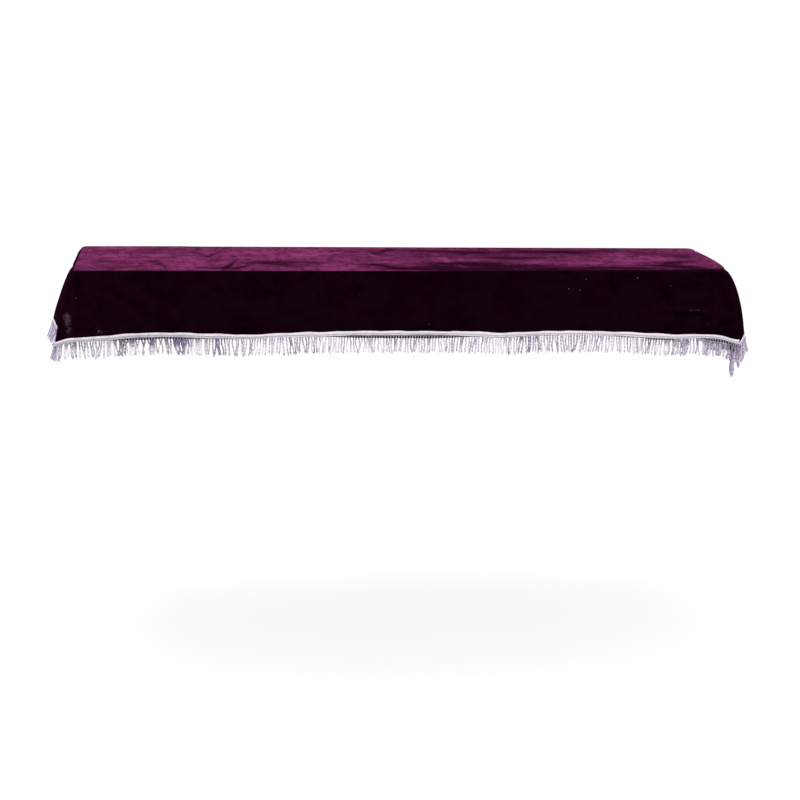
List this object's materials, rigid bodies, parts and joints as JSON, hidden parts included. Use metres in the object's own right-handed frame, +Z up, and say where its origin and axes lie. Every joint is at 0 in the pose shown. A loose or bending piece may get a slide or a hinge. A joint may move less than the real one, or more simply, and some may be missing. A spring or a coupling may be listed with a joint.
{
  "type": "velvet piano cover with fringe",
  "caption": "Draped rectangular velvet cover for a slim digital piano, hollow and open below, with a braided fringe sewn round its hem.",
  "frame": {"origin": "middle of the underside of the cover's top, where the piano's flat top holds it up", "axes": "+X along the piano's length, to the right when the cover is seen from its fringed front; +Y from that front to the other long side; +Z up"},
  "size_m": [1.4919, 0.33, 0.236],
  "materials": {
    "velvet": "deep purple velvet, soft pile with a sheen at grazing angles",
    "lavender_fringe": "satin silver-lavender braid with twisted cords"
  },
  "bodies": {
    "root": {"velvet_cloth": "velvet", "fringe_trim": "lavender_fringe"}
  },
  "joints": []
}
